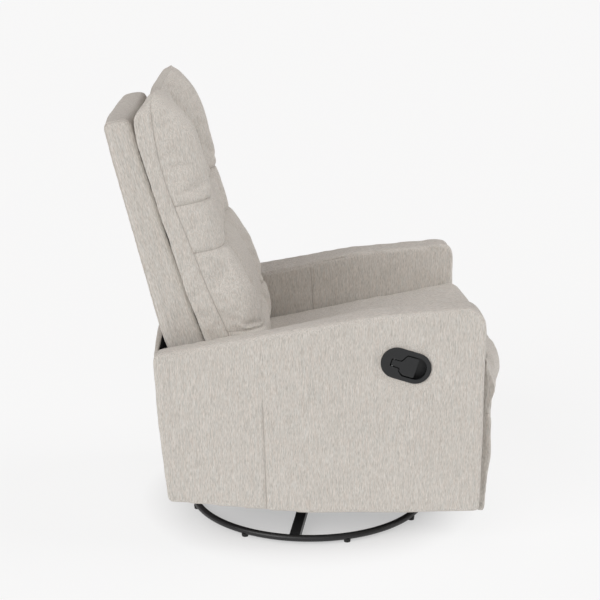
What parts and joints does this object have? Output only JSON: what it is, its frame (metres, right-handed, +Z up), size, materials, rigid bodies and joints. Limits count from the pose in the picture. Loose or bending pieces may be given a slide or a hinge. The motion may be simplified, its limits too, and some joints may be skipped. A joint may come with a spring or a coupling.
{
  "type": "glider nursery chair",
  "caption": "Upholstered swivel glider recliner with padded arms, tufted back cushion, folding footrest and a flush release lever on a round steel floor ring.",
  "frame": {"origin": "on the floor under the middle of the chair, on the swivel axis", "axes": "+Z up, -Y the way the chair faces, -X towards the sitter's right, where the release lever is"},
  "size_m": [0.66, 0.9159, 1.045],
  "materials": {
    "upholstery": "heathered linen weave, matt",
    "black_lining": "matt",
    "black_steel": "satin powder coat",
    "dark_steel": "matt coat",
    "zinc_steel": "zinc plated",
    "bearing_steel": "ground",
    "spring_steel": "oiled",
    "black_plastic": "fine moulded grain",
    "cable_jacket": "smooth",
    "nylon": "smooth",
    "foot_rubber": "matt",
    "frame_wood": "sawn plywood"
  },
  "bodies": {
    "base": {"base_ring": "black_steel", "base_crossbar": "black_steel", "base_half_bars": "black_steel", "base_feet": "foot_rubber", "hub_plate": "black_steel", "hub_bolts": "zinc_steel", "lower_race": "bearing_steel", "bearing_balls": "bearing_steel", "kingpin": "zinc_steel", "kingpin_nut": "zinc_steel"},
    "turntable": {"upper_race": "bearing_steel", "swivel_plate": "dark_steel", "glide_stand_right": "dark_steel", "glide_stand_left": "dark_steel", "stand_tubes": "dark_steel", "stand_bolts": "zinc_steel", "upper_swing_pins": "zinc_steel"},
    "front_links": {"front_swing_link_right": "dark_steel", "front_swing_link_left": "dark_steel"},
    "rear_links": {"rear_swing_link_right": "dark_steel", "rear_swing_link_left": "dark_steel"},
    "carriage": {"glide_rail_right": "dark_steel", "glide_rail_left": "dark_steel", "lower_swing_pins": "zinc_steel", "front_cross_rail": "dark_steel", "rear_cross_rail": "dark_steel", "seat_track_right": "dark_steel", "seat_track_left": "dark_steel", "arm_frame_right": "frame_wood", "arm_frame_left": "frame_wood", "arm_cover_right": "upholstery", "arm_cover_left": "upholstery", "rear_panel": "upholstery", "rear_lining": "black_lining", "lever_cup": "black_plastic", "lever_pin": "zinc_steel", "release_cable": "cable_jacket", "latch_housing": "black_plastic"},
    "lever": {"lever_handle": "black_plastic"},
    "seat": {"seat_side_rails": "frame_wood", "seat_front_rail": "frame_wood", "seat_rear_rail": "frame_wood", "seat_springs": "spring_steel", "seat_cushion": "upholstery", "seat_plate_right": "dark_steel", "seat_plate_left": "dark_steel", "slide_blocks": "nylon", "footrest_pivot_pins": "zinc_steel"},
    "back": {"back_frame": "frame_wood", "back_springs": "spring_steel", "back_lining": "black_lining", "back_shell": "upholstery", "back_cushion": "upholstery", "back_hinge_brackets": "dark_steel", "back_hinge_pins": "zinc_steel"},
    "footrest_drive": {"footrest_drive_links": "dark_steel", "footrest_torque_tube": "dark_steel"},
    "footrest_lift": {"footrest_lift_links": "dark_steel"},
    "footrest": {"footrest_board": "frame_wood", "footrest_padding": "upholstery"}
  },
  "joints": [
    {"name": "swivel", "type": "hinge", "parent": "base", "child": "turntable", "pos_m": [0, 0, 0], "axis": [0, 0, 1], "continuous": true},
    {"name": "front_swing", "type": "hinge", "parent": "turntable", "child": "front_links", "pos_m": [0, -0.11, 0.198], "axis": [-1, 0, 0], "range_deg": [-20.5, 20.5]},
    {"name": "rear_swing", "type": "hinge", "parent": "turntable", "child": "rear_links", "pos_m": [0, 0.11, 0.198], "axis": [-1, 0, 0], "range_deg": [-20.5, 20.5]},
    {"name": "glide", "type": "hinge", "parent": "front_links", "child": "carriage", "pos_m": [0, -0.11, 0.078], "axis": [-1, 0, 0], "range_deg": [-20, 20]},
    {"name": "lever_pull", "type": "hinge", "parent": "carriage", "child": "lever", "pos_m": [-0.325, -0.17534, 0.45572], "axis": [0, 0.3007, -0.9537], "range_deg": [0, 35], "stiffness_Nm_per_rad": 0.6},
    {"name": "seat_slide", "type": "slide", "parent": "carriage", "child": "seat", "axis": [0, -0.9823, 0.1874], "range_m": [0, 0.125]},
    {"name": "recline", "type": "hinge", "parent": "seat", "child": "back", "pos_m": [0, 0.23, 0.34], "axis": [-1, 0, 0], "range_deg": [0, 36]},
    {"name": "footrest_out", "type": "hinge", "parent": "seat", "child": "footrest_drive", "pos_m": [0, -0.236, 0.27], "axis": [-1, 0, 0], "range_deg": [0, 90]},
    {"name": "footrest_knee", "type": "hinge", "parent": "footrest_drive", "child": "footrest_lift", "pos_m": [0, -0.27073, 0.07304], "axis": [-1, 0, 0], "range_deg": [-140.5, 0]},
    {"name": "footrest_tip", "type": "hinge", "parent": "footrest_lift", "child": "footrest", "pos_m": [0, -0.37073, 0.24624], "axis": [-1, 0, 0], "range_deg": [0, 135.5]}
  ],
  "couplings": [
    {"joint": "front_swing", "follows": "glide", "ratio": -1},
    {"joint": "rear_swing", "follows": "glide", "ratio": -1},
    {"joint": "seat_slide", "follows": "recline", "m_per_rad": 0.19735},
    {"joint": "footrest_knee", "follows": "footrest_out", "ratio": -1.5556},
    {"joint": "footrest_tip", "follows": "footrest_out", "ratio": 1.5}
  ]
}
